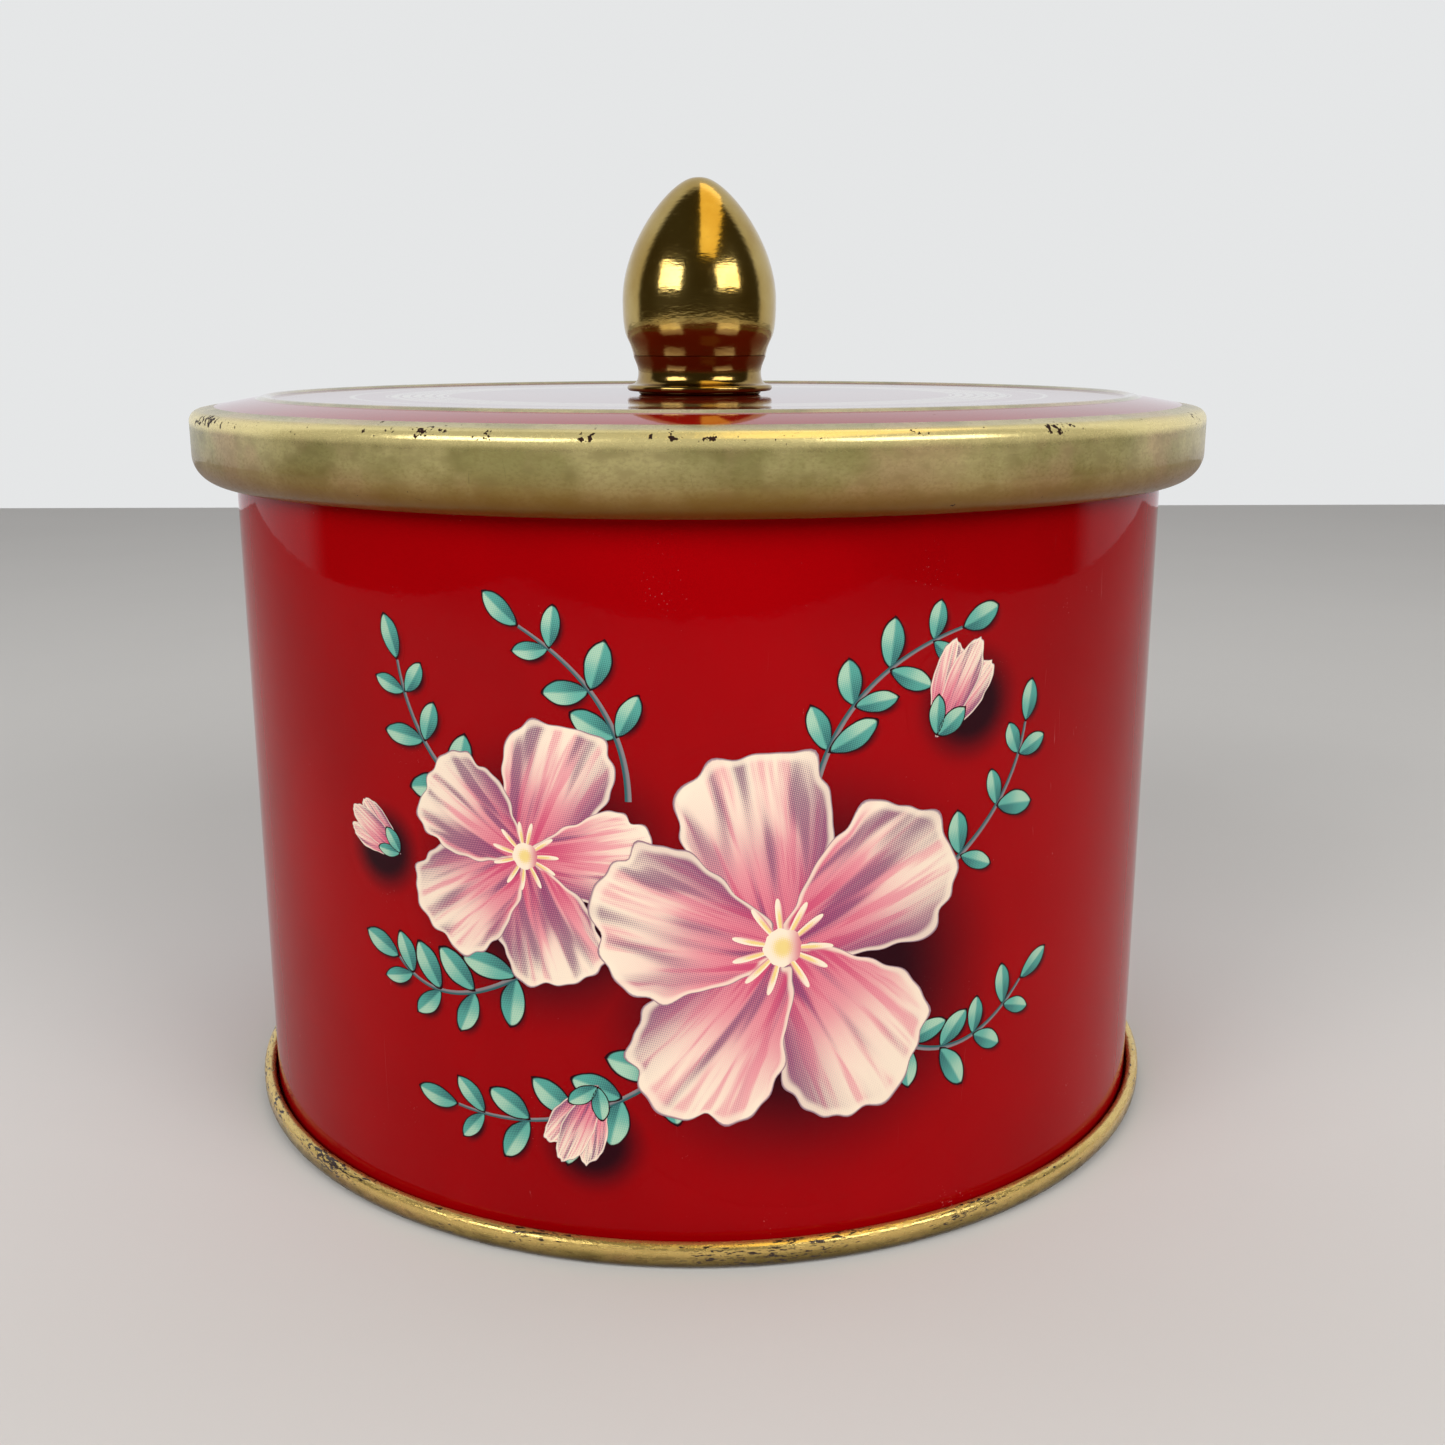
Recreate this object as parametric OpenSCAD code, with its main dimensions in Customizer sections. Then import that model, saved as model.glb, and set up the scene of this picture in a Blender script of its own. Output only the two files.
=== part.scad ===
// Round tea caddy in tinplate with a deep rounded cap lid and a brass knob.
// The origin is the centre of the foot, on the surface the tin stands on, and +Z is up.
// Each stamping is drawn as the centreline of its sheet and revolved at the sheet's thickness.

/* [Body] */
// Outside diameter of the body wall
body_d = 127; // [100:1:180]
// Height from the foot to the top of the wall's rolled edge
body_h = 96.7; // [60:0.1:150]
// Thickness of the tinplate
sheet = 0.3; // [0.2:0.05:0.35]
// Diameter of the inward roll along the wall's top edge
roll_d = 2.2; // [1.6:0.1:3]
// Width of the locked side seam
lock_w = 3.6; // [2.4:0.1:6]

/* [Bottom] */
// How far the double seam stands out from the wall
seam_reach = 2; // [1.8:0.1:2.6]
// Height of the double seam
seam_h = 3; // [2.8:0.1:4]
// Height of the bottom panel's underside above the foot
recess_h = 2.6; // [2.4:0.1:4]
// How far inside the wall's outer face the pressed step of the bottom lies
bottom_step_inset = 13.5; // [6:0.5:30]
// Bend radius of that step
bottom_bend = 1.2; // [0.8:0.1:1.6]

/* [Lid] */
// How far the rim of the lid stands out from the wall
lid_reach = 5.4; // [4:0.1:6.5]
// Height of the rim, from its lower lip to its shoulder
rim_h = 9.3; // [8.5:0.1:20]
// Radius of the rim's shoulder
shoulder_r = 1.5; // [1:0.1:2]
// Radius of the rim's large lower curve
belly_r = 3.7; // [3.4:0.1:4.6]
// Radius of the small lip that turns up along the wall
lip_r = 1; // [0.7:0.1:1.2]
// Height of the guide flange above the lip's centre
guide_h = 3; // [2:0.1:4]
// Play between the guide flange and the wall
lid_play = 0.3; // [0.2:0.05:0.5]
// Gap between the lid and the rolled edge it rests over
seat_gap = 0.15; // [0.1:0.01:0.3]
// Slope of the lid's outer band, in degrees
band_slope = 10; // [5:0.5:12]
// How far inside the wall's outer face the raised bead of the lid lies
bead_inset = 4.1; // [3.8:0.1:12]
// Width of the bead
bead_w = 2.8; // [2:0.1:3.2]
// Height of the bead above the lid's panel
bead_h = 0.4; // [0.2:0.05:0.6]

/* [Knob] */
// Widest diameter of the knob
knob_d = 21.4; // [18:0.1:26]
// Height of the knob above the lid
knob_h = 29.1; // [26:0.1:36]
// Height of the knob's widest place above the lid
knob_wide_h = 12.7; // [11.5:0.1:14]
// Height of the joint between shell and collar
knob_joint_h = 5.4; // [5:0.1:6]
// How far inside the knob's widest place the joint of shell and collar lies
joint_inset = 1.4; // [1.1:0.05:1.6]
// How far inside the knob's widest place the edge of the collar's flange lies
flange_inset = 0.5; // [0.2:0.05:0.8]
// How far inside the knob's widest place the collar's neck and foot lie
neck_inset = 2.05; // [1.9:0.05:2.4]
// Thickness of the drawn brass
brass = 0.4; // [0.3:0.05:0.5]

/* [Fastening] */
// Shank diameter of the knob's screw
screw_d = 4; // [3:0.5:5]
// Length of the screw below its head
screw_l = 9; // [8:0.5:11]
// Diameter of the screw's head
head_d = 8; // [7:0.1:9]
// Thickness of the screw's head
head_h = 2.4; // [2:0.1:3]
// Diameter of the washer under the lid
washer_d = 12; // [10:0.5:16]
// Thickness of the washer
washer_t = 0.8; // [0.5:0.1:1.2]
// Diameter of the insert's flange inside the collar
insert_d = 13; // [11:0.5:14]
// Diameter of the insert's barrel
barrel_d = 7; // [6.5:0.1:8]
// Height of the insert
insert_h = 9; // [8:0.1:10]
// Diameter clearance of the holes that the screw passes
hole_play = 0.4; // [0.2:0.1:0.8]

/* [Hidden] */
$fn = 180;

bend_steps = 10;        // points along a small bend
curve_steps = 18;       // points along a long curve
fold_gap = 0.1;         // space kept between folded layers
hook_gap = 0.3;         // space past the end of each hook in the double seam
chuck_play = 0.05;      // space between the wall and the bottom's raised flange
foot_bend = 0.6;        // bend radius at the inner edge of the foot
panel_bend = 0.8;       // bend radius round the bottom panel
lock_step = 0.25;       // thickness of each fold of the side seam inside the wall
lock_line_w = 0.3;      // width of the fine line that shows the side seam outside
lock_line_d = 0.1;      // depth of that line
roll_turn = 295;        // how far round the wall's rolled edge turns, in degrees
bottom_turn = 35;       // how steep the bottom's step is, in degrees
thread_play = 0.1;      // diameter clearance of the screw in the insert
spigot_h = 2;           // how far the collar reaches up inside the shell
spigot_play = 0.03;     // clearance between the collar's spigot and the shell
slot_w = 1;             // screwdriver slot
head_edge = 1;          // rounding round the screw's head
insert_flange_t = 1.5;  // thickness of the insert's flange

half = sheet / 2;
wall_r = body_d / 2 - half;

// Double seam: five layers of sheet, at equal pitch outside the wall
layer = seam_reach / 3;
hook_z = sheet + fold_gap + layer + half;
curl_z = seam_h - half - layer;
foot_r = wall_r + 3 * layer;
seam_bend = 0.6 * seam_reach;   // bend radius at the outer edge of the foot
chuck_r = wall_r - sheet - chuck_play;

// Rolled edge of the wall
roll_r = roll_d / 2 - half;
roll_z = body_h - roll_d / 2;

// Lid: the outer band is a cone that clears the rolled edge by seat_gap
function band_z(r) = body_h + seat_gap + half / cos(band_slope)
    - (r - (body_d / 2 - roll_d / 2)) * tan(band_slope);
lid_r = body_d / 2 + lid_reach;
bead_r = body_d / 2 - bead_inset;
panel_z = band_z(bead_r + bead_w / 2);
lid_top = panel_z + half;
shoulder = [lid_r - shoulder_r,
    band_z(lid_r - shoulder_r + (shoulder_r - half) * sin(band_slope))
    - (shoulder_r - half) * cos(band_slope)];
lip = [body_d / 2 + lid_play + lip_r, shoulder[1] + shoulder_r - rim_h + lip_r];
belly_x = lid_r - belly_r;
belly = [belly_x, lip[1] + sqrt(pow(belly_r - lip_r, 2) - pow(lip[0] - belly_x, 2))];
lip_turn = atan2(lip[1] - belly[1], lip[0] - belly[0]);

// Knob
joint_r = knob_d / 2 - joint_inset;
crown_r = 0.5;          // flat of the shell at its very top
joint_gap = 0.15;       // height of the fine groove at the joint of shell and collar
edge_inset = 0.05;      // how far inside the shell the collar's upper edge lies
neck_h = 3;             // height of the collar's neck above the lid
flange_h = 0.95;        // height of the collar's flange above the lid
floor_z = brass;        // top of the collar's floor, above the lid
spigot_r = joint_r - brass - spigot_play - brass / 2;

// A circular arc as points, from one angle to another
function arc(centre, r, from, to, steps = bend_steps) =
    [for (i = [0 : steps]) let (a = from + (to - from) * i / steps)
        centre + r * [cos(a), sin(a)]];

// A cubic curve as points, from its two ends and two handles
function curve(a, b, c, d, steps = curve_steps) =
    [for (i = [0 : steps]) let (t = i / steps, s = 1 - t)
        s * s * s * a + 3 * s * s * t * b + 3 * s * t * t * c + t * t * t * d];

// Joined runs of points, without the doubled ones where two runs meet
function joined(runs) = let (all = [for (run = runs) each run])
    [for (i = [0 : len(all) - 1]) if (i == 0 || norm(all[i] - all[i - 1]) > 0.001) all[i]];

function unit(v) = v / norm(v);
function left(v) = [-v[1], v[0]];

// The mitred offset of a path, to its left where d is positive
function beside(path, d) = let (last = len(path) - 1)
    [for (i = [0 : last])
        let (before = left(unit(path[max(i, 1)] - path[max(i, 1) - 1])),
            after = left(unit(path[min(i, last - 1) + 1] - path[min(i, last - 1)])),
            middle = unit(before + after))
        path[i] + middle * d / (middle * before)];

function reversed(path) = [for (i = [len(path) - 1 : -1 : 0]) path[i]];

// A revolved sheet of thickness t, centred on its path
module revolved_sheet(path, t) {
    rotate_extrude()
        polygon(concat(beside(path, t / 2), reversed(beside(path, -t / 2))));
}

// A strip of a ring that is centred on the back of the tin
module back_strip(r_in, r_out, w, z0, z1) {
    turn = w / r_out * 180 / PI;
    rotate([0, 0, 90 - turn / 2])
        rotate_extrude(angle = turn)
            translate([r_in, z0]) square([r_out - r_in, z1 - z0]);
}

// Body wall: hooked into the double seam below, rolled inwards above, locked at the back
module body_wall() {
    lock_z0 = seam_h + hook_gap;
    lock_z1 = body_h - roll_d - hook_gap;
    path = joined([
        [[wall_r + 2 * layer, curl_z + layer - half - hook_gap]],
        arc([wall_r + layer, hook_z], layer, 0, -180),
        arc([wall_r - roll_r, roll_z], roll_r, 0, roll_turn, curve_steps)]);
    color("#a00a1e")
        difference() {
            union() {
                revolved_sheet(path, sheet);
                back_strip(wall_r - half - lock_step, wall_r, lock_w, lock_z0, lock_z1);
                back_strip(wall_r - half - 2 * lock_step, wall_r - half - lock_step / 2,
                    lock_w * 0.7, lock_z0 + hook_gap, lock_z1 - hook_gap);
            }
            back_strip(body_d / 2 - lock_line_d, body_d / 2 + 1, lock_line_w,
                lock_z0, lock_z1 + hook_gap);
        }
}

// Bottom: a stepped panel set up inside the wall, with its edge folded into the double seam
module bottom_end() {
    panel = recess_h + half;
    bottom_step_r = body_d / 2 - bottom_step_inset;
    rise = 2 * bottom_bend * (1 - cos(bottom_turn));
    run = bottom_bend * sin(bottom_turn);
    path = joined([
        [[0, panel + rise]],
        arc([bottom_step_r - run, panel + rise - bottom_bend], bottom_bend, 90,
            90 - bottom_turn),
        arc([bottom_step_r + run, panel + bottom_bend], bottom_bend, -90 - bottom_turn, -90),
        arc([chuck_r - panel_bend, panel - panel_bend], panel_bend, 90, 0),
        arc([chuck_r + foot_bend, half + foot_bend], foot_bend, 180, 270),
        arc([foot_r - seam_bend, half + seam_bend], seam_bend, -90, 0),
        arc([foot_r - layer, curl_z], layer, 0, 180),
        [[foot_r - 2 * layer, hook_z - layer + half + hook_gap]]]);
    color("#a89058")
        revolved_sheet(path, sheet);
}

// Lid: flat panel, raised bead, sloped band, shoulder, rounded rim and guide flange
module lid_cap() {
    hole_r = (screw_d + hole_play) / 2;
    path = joined([
        [[hole_r, panel_z]],
        [for (i = [-curve_steps / 2 : curve_steps / 2]) let (across = 2 * i / curve_steps)
            [bead_r + across * bead_w / 2, panel_z + bead_h * (1 + cos(180 * across)) / 2]],
        arc(shoulder, shoulder_r - half, 90 - band_slope, 0),
        arc(belly, belly_r - half, 0, lip_turn, curve_steps),
        arc(lip, lip_r - half, lip_turn, -180),
        [[lip[0] - lip_r + half, lip[1] + guide_h]]]);
    color("#b9ab72")
        revolved_sheet(path, sheet);
}

// Knob shell: a drawn brass egg, open where it sits over the collar
module knob_shell() {
    wide = [knob_d / 2 - brass / 2, knob_wide_h];
    top = [crown_r, knob_h - brass / 2];
    joint = [joint_r - brass / 2, knob_joint_h];
    swell_h = knob_wide_h - knob_joint_h;
    crown_h = knob_h - knob_wide_h;
    path = joined([
        curve(joint, joint + [0.6, 0.42 * swell_h], wide - [0, 0.8 * swell_h], wide),
        curve(wide, wide + [0, 0.49 * crown_h], top + [0.14 * knob_d, 0], top),
        [[0, top[1]]]]);
    color("#b8902f")
        translate([0, 0, lid_top])
            revolved_sheet(path, brass);
}

// Knob collar: spigot inside the shell, necked body, thin flange, foot and in-turned floor
module knob_collar() {
    mid = brass / 2;
    out_r = joint_r - mid;
    bend = mid + fold_gap / 2;
    edge = [out_r - edge_inset, knob_joint_h - 2 * joint_gap];
    neck = [knob_d / 2 - neck_inset - mid, neck_h];
    flange = [knob_d / 2 - flange_inset - mid - bend, flange_h];
    foot = [neck[0], mid + bend];
    floor_r = barrel_d / 2;
    path = joined([
        [[spigot_r, knob_joint_h + spigot_h]],
        [[spigot_r, knob_joint_h - joint_gap]],
        curve(edge, edge - [0.34, 0.9], neck + [0, 0.9], neck, bend_steps),
        curve(neck, neck - [0, 1.1], flange + [-0.9, bend], flange + [0, bend], bend_steps),
        arc(flange, bend, 90, -90),
        curve(flange - [0, bend], flange - [0.8, bend], foot + [0, 0.1], foot, bend_steps),
        arc(foot - [bend, 0], bend, 0, -90),
        [[floor_r, mid]]]);
    color("#b8902f")
        translate([0, 0, lid_top])
            revolved_sheet(path, brass);
}

// Knob insert: turned barrel and flange that hold the thread inside the collar
module knob_insert() {
    color("#a98530")
        translate([0, 0, lid_top + floor_z])
            difference() {
                union() {
                    cylinder(d = insert_d, h = insert_flange_t);
                    cylinder(d = barrel_d, h = insert_h);
                }
                translate([0, 0, -1])
                    cylinder(d = screw_d + thread_play, h = insert_h + 2);
            }
}

// Knob screw: slotted pan head below the washer, shank up through the lid into the insert
module knob_screw() {
    head_top = lid_top - sheet - washer_t;
    color("#9a9a98")
        translate([0, 0, head_top])
            difference() {
                union() {
                    rotate_extrude()
                        polygon(joined([
                            [[0, -head_h]],
                            arc([head_d / 2 - head_edge, head_edge - head_h], head_edge, -90, 0),
                            [[head_d / 2, 0], [0, 0]]]));
                    translate([0, 0, -0.5])
                        cylinder(d = screw_d, h = screw_l + 0.5);
                }
                translate([-head_d, -slot_w / 2, -head_h - 1])
                    cube([2 * head_d, slot_w, 1 + head_h / 2]);
            }
}

// Knob washer: flat ring that spreads the screw's pull under the lid
module knob_washer() {
    color("#9a9a98")
        translate([0, 0, lid_top - sheet - washer_t])
            difference() {
                cylinder(d = washer_d, h = washer_t);
                translate([0, 0, -1])
                    cylinder(d = screw_d + hole_play, h = washer_t + 2);
            }
}

body_wall();
bottom_end();
lid_cap();
knob_shell();
knob_collar();
knob_insert();
knob_screw();
knob_washer();
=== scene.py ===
import math
import random

import bpy
import numpy as np
from mathutils import Matrix, Vector


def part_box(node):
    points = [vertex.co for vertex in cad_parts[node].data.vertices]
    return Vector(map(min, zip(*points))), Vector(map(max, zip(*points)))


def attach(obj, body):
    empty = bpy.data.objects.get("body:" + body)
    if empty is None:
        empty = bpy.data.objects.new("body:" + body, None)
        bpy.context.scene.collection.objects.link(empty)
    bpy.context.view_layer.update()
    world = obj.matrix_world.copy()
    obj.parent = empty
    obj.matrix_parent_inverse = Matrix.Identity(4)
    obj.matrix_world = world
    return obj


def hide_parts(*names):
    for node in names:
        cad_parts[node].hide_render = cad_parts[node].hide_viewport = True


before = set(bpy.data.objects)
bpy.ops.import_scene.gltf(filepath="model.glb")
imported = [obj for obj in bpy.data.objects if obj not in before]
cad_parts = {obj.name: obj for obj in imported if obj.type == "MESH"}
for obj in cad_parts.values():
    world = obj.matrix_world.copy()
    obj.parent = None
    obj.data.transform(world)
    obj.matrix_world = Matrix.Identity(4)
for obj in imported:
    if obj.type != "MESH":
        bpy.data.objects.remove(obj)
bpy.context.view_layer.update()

mm = 0.001
roundSteps = 256        # faces round the tin
knobSteps = 128         # faces round the knob


def deselectAll():
    if bpy.context.object and bpy.context.object.mode != "OBJECT":
        bpy.ops.object.mode_set(mode="OBJECT")
    bpy.ops.object.select_all(action="DESELECT")


def activate(piece):
    deselectAll()
    piece.select_set(True)
    bpy.context.view_layer.objects.active = piece


# Outlines of a stamping: the centreline of its sheet, as (radius, height) in millimetres

def arcPoints(centre, radius, start, end, steps=10):
    turns = [math.radians(start + (end - start) * i / steps) for i in range(steps + 1)]
    return [(centre[0] + radius * math.cos(a), centre[1] + radius * math.sin(a)) for a in turns]


def curvePoints(a, b, c, d, steps=18):
    points = []
    for i in range(steps + 1):
        t, s = i / steps, 1 - i / steps
        points.append(tuple(s**3 * a[k] + 3 * s * s * t * b[k] + 3 * s * t * t * c[k] + t**3 * d[k]
                            for k in (0, 1)))
    return points


def joinRuns(*runs):
    # one path, without the doubled points where two runs meet
    path = []
    for run in runs:
        for p in run:
            if not path or math.dist(p, path[-1]) > 0.001:
                path.append(p)
    return path


def beside(path, distance):
    # the mitred offset of a path, to its left where distance is positive
    pts = np.array(path, float)
    legs = np.diff(pts, axis=0)
    legs /= np.linalg.norm(legs, axis=1)[:, None]
    sides = np.stack([-legs[:, 1], legs[:, 0]], axis=1)
    before = np.vstack([sides[:1], sides])
    after = np.vstack([sides, sides[-1:]])
    middle = before + after
    middle /= np.linalg.norm(middle, axis=1)[:, None]
    reach = distance / np.sum(middle * before, axis=1)
    return [tuple(p) for p in pts + middle * reach[:, None]]


# Pieces turned round the axis

def startPoint(name, point):
    # a new mesh of one vertex, selected in edit mode
    deselectAll()
    bpy.ops.mesh.primitive_plane_add(size=mm, location=(0, 0, 0))
    piece = bpy.context.object
    piece.name = name
    piece.data.name = name
    bpy.ops.object.mode_set(mode="EDIT")
    bpy.ops.mesh.select_all(action="SELECT")
    bpy.ops.mesh.merge(type="CENTER")
    bpy.ops.transform.translate(value=(point[0] * mm, 0, point[1] * mm))
    return piece


def turned(name, outline, steps, closed=True, smoothAngle=32):
    # outline is drawn by extruding one vertex along it, then spun round the axis
    piece = startPoint(name, outline[0])
    for a, b in zip(outline, outline[1:]):
        bpy.ops.mesh.extrude_region_move(TRANSFORM_OT_translate={
            "value": ((b[0] - a[0]) * mm, 0, (b[1] - a[1]) * mm)})
    bpy.ops.mesh.select_all(action="SELECT")
    if closed:
        bpy.ops.mesh.select_all(action="DESELECT")
        bpy.ops.object.mode_set(mode="OBJECT")
        ends = [Vector((p[0] * mm, 0, p[1] * mm)) for p in (outline[0], outline[-1])]
        for vertex in piece.data.vertices:
            vertex.select = min((vertex.co - end).length for end in ends) < 1e-7
        bpy.ops.object.mode_set(mode="EDIT")
        bpy.ops.mesh.edge_face_add()
        bpy.ops.mesh.select_all(action="SELECT")
    bpy.ops.mesh.spin(steps=steps, angle=2 * math.pi, center=(0, 0, 0), axis=(0, 0, 1))
    bpy.ops.mesh.select_all(action="SELECT")
    bpy.ops.mesh.remove_doubles(threshold=2e-6)
    bpy.ops.mesh.normals_make_consistent(inside=False)
    bpy.ops.object.mode_set(mode="OBJECT")
    bpy.ops.object.shade_smooth_by_angle(angle=math.radians(smoothAngle))
    return piece


def sheetOutline(path, thickness, onAxis=False):
    # the closed outline of a sheet, or the open one of a sheet that ends on the axis
    left = beside(path, thickness / 2)
    right = beside(path, -thickness / 2)
    if onAxis:
        left = [(0 if i == len(left) - 1 else p[0], p[1]) for i, p in enumerate(left)]
        right = [(0 if i == len(right) - 1 else p[0], p[1]) for i, p in enumerate(right)]
        return left[::-1] + right
    return left + right[::-1]


def paintSides(piece, path, leftSlot, rightSlot):
    # each face takes the slot of the side of the path that it lies on
    start = np.array(path[:-1])
    leg = np.array(path[1:]) - start
    for face in piece.data.polygons:
        place = np.array([math.hypot(face.center.x, face.center.y), face.center.z]) / mm - start
        along = np.clip(np.sum(place * leg, axis=1) / np.sum(leg * leg, axis=1), 0, 1)
        away = place - leg * along[:, None]
        nearest = int(np.argmin(np.sum(away * away, axis=1)))
        cross = leg[nearest, 0] * away[nearest, 1] - leg[nearest, 1] * away[nearest, 0]
        face.material_index = leftSlot if cross > 0 else rightSlot


# Shader building

def addNode(tree, kind, **settings):
    node = tree.nodes.new("ShaderNode" + kind)
    for key, value in settings.items():
        setattr(node, key, value)
    return node


def feed(tree, socket, value):
    if isinstance(value, bpy.types.NodeSocket):
        tree.links.new(value, socket)
    else:
        socket.default_value = value


def calc(tree, operation, *values):
    node = addNode(tree, "Math", operation=operation)
    for socket, value in zip(node.inputs, values):
        feed(tree, socket, value)
    return node.outputs[0]


def mapRange(tree, value, low, high, toLow=0.0, toHigh=1.0):
    node = addNode(tree, "MapRange", interpolation_type="SMOOTHSTEP")
    for socket, number in zip(node.inputs, (value, low, high, toLow, toHigh)):
        feed(tree, socket, number)
    return node.outputs[0]


def mixColour(tree, factor, a, b, blend="MIX"):
    node = addNode(tree, "Mix", data_type="RGBA", blend_type=blend)
    for index, value in ((0, factor), (6, a), (7, b)):
        feed(tree, node.inputs[index], value)
    return node.outputs[2]


def stretch(tree, place, scale, turn=(0, 0, 0)):
    node = addNode(tree, "Mapping")
    feed(tree, node.inputs["Vector"], place)
    node.inputs["Rotation"].default_value = [math.radians(t) for t in turn]
    node.inputs["Scale"].default_value = scale
    return node.outputs[0]


def noise(tree, place, scale, detail=3.0, roughness=0.5):
    node = addNode(tree, "TexNoise")
    for name, value in (("Vector", place), ("Scale", scale), ("Detail", detail),
                        ("Roughness", roughness)):
        feed(tree, node.inputs[name], value)
    return node.outputs["Fac"]


def shaderGroup(name, inputs, outputs):
    tree = bpy.data.node_groups.new(name, "ShaderNodeTree")
    for label, kind in inputs:
        tree.interface.new_socket(name=label, in_out="INPUT", socket_type="NodeSocket" + kind)
    for label, kind in outputs:
        tree.interface.new_socket(name=label, in_out="OUTPUT", socket_type="NodeSocket" + kind)
    return tree, tree.nodes.new("NodeGroupInput").outputs, tree.nodes.new("NodeGroupOutput").inputs


def useGroup(tree, group, **values):
    node = tree.nodes.new("ShaderNodeGroup")
    node.node_tree = group
    for name, value in values.items():
        feed(tree, node.inputs[name], value)
    return node.outputs


# Radius, height and arc of a place, in millimetres: the arc is measured round bodyRadius from the front
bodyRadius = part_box("bottom_end")[1][0] / mm - 2
turnedPlace, gIn, gOut = shaderGroup(
    "turnedPlace", [("Place", "Vector")],
    [("Radius", "Float"), ("Height", "Float"), ("Arc", "Float"), ("Unrolled", "Vector")])
parts = addNode(turnedPlace, "SeparateXYZ")
feed(turnedPlace, parts.inputs[0], gIn["Place"])
across = [calc(turnedPlace, "MULTIPLY", parts.outputs[k], parts.outputs[k]) for k in (0, 1)]
radial = calc(turnedPlace, "SQRT", calc(turnedPlace, "ADD", *across))
turn = calc(turnedPlace, "ARCTAN2", parts.outputs[0],
            calc(turnedPlace, "MULTIPLY", parts.outputs[1], -1.0))
arc = calc(turnedPlace, "MULTIPLY", turn, bodyRadius)
unrolled = addNode(turnedPlace, "CombineXYZ")
for socket, value in zip(unrolled.inputs, (arc, radial, parts.outputs[2])):
    feed(turnedPlace, socket, value)
feed(turnedPlace, gOut["Radius"], radial)
feed(turnedPlace, gOut["Height"], parts.outputs[2])
feed(turnedPlace, gOut["Arc"], arc)
feed(turnedPlace, gOut["Unrolled"], unrolled.outputs[0])

# Soft clouds, as a mask that rises from Low to High
cloud, gIn, gOut = shaderGroup(
    "cloud", [("Place", "Vector"), ("Scale", "Float"), ("Low", "Float"), ("High", "Float")],
    [("Mask", "Float")])
feed(cloud, gOut["Mask"], mapRange(
    cloud, noise(cloud, gIn["Place"], gIn["Scale"], 4.0, 0.55), gIn["Low"], gIn["High"]))

# Chips and spots: small marks that crowd together in places
spots, gIn, gOut = shaderGroup(
    "spots", [("Place", "Vector"), ("Size", "Float"), ("Crowd", "Float"), ("Amount", "Float")],
    [("Mask", "Float")])
small = noise(spots, gIn["Place"], calc(spots, "DIVIDE", 1.0, gIn["Size"]), 2.0, 0.7)
crowd = noise(spots, gIn["Place"], calc(spots, "DIVIDE", 1.0, gIn["Crowd"]), 1.0, 0.5)
lift = calc(spots, "MULTIPLY", calc(spots, "SUBTRACT", crowd, 0.5), 0.6)
level = calc(spots, "ADD", calc(spots, "ADD", small, lift), gIn["Amount"])
feed(spots, gOut["Mask"], mapRange(spots, level, 0.78, 0.82))

# Short hair scratches that run one way
hairs, gIn, gOut = shaderGroup("hairs", [("Place", "Vector"), ("Width", "Float"),
                                         ("Amount", "Float")], [("Mask", "Float")])
line = noise(hairs, gIn["Place"], 1.0, 0.0, 0.5)
offLine = calc(hairs, "ABSOLUTE", calc(hairs, "SUBTRACT", line, 0.5))
thin = mapRange(hairs, offLine, 0.0, gIn["Width"], 1.0, 0.0)
where = noise(hairs, gIn["Place"], 2.3, 0.0, 0.5)
kept = mapRange(hairs, calc(hairs, "ADD", where, gIn["Amount"]), 0.78, 0.84)
feed(hairs, gOut["Mask"], calc(hairs, "MULTIPLY", thin, kept))

# The faint waviness of a lacquered or polished surface
orangePeel, gIn, gOut = shaderGroup("orangePeel", [("Place", "Vector"), ("Size", "Float")],
                                    [("Height", "Float")])
feed(orangePeel, gOut["Height"], noise(
    orangePeel, gIn["Place"], calc(orangePeel, "DIVIDE", 1.0, gIn["Size"]), 2.0, 0.5))


def newMaterial(name, **constants):
    # a Principled material and its Object coordinates in millimetres
    material = bpy.data.materials.new(name)
    material.use_nodes = True
    tree = material.node_tree
    shader = tree.nodes["Principled BSDF"]
    for key, value in constants.items():
        shader.inputs[key.replace("_", " ")].default_value = value
    place = addNode(tree, "VectorMath", operation="SCALE")
    feed(tree, place.inputs[0], addNode(tree, "TexCoord").outputs["Object"])
    place.inputs["Scale"].default_value = 1 / mm
    return material, tree, shader, place.outputs[0]


def setBump(tree, shader, height, distance):
    node = addNode(tree, "Bump")
    node.inputs["Strength"].default_value = 1.0
    node.inputs["Distance"].default_value = distance * mm
    feed(tree, node.inputs["Height"], height)
    feed(tree, shader.inputs["Normal"], node.outputs[0])
    if shader.inputs["Coat Weight"].default_value > 0:
        feed(tree, shader.inputs["Coat Normal"], node.outputs[0])


lacquer = dict(red=(0.31, 0.0001, 0.0018, 1), deep=(0.25, 0.0001, 0.0015, 1),
               dust=(0.55, 0.2, 0.2, 1), dark=(0.10, 0.03, 0.010, 1))
varnish = dict(Coat_Weight=1.0, Coat_Roughness=0.03, Coat_IOR=1.17, Specular_IOR_Level=0.0)


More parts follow.
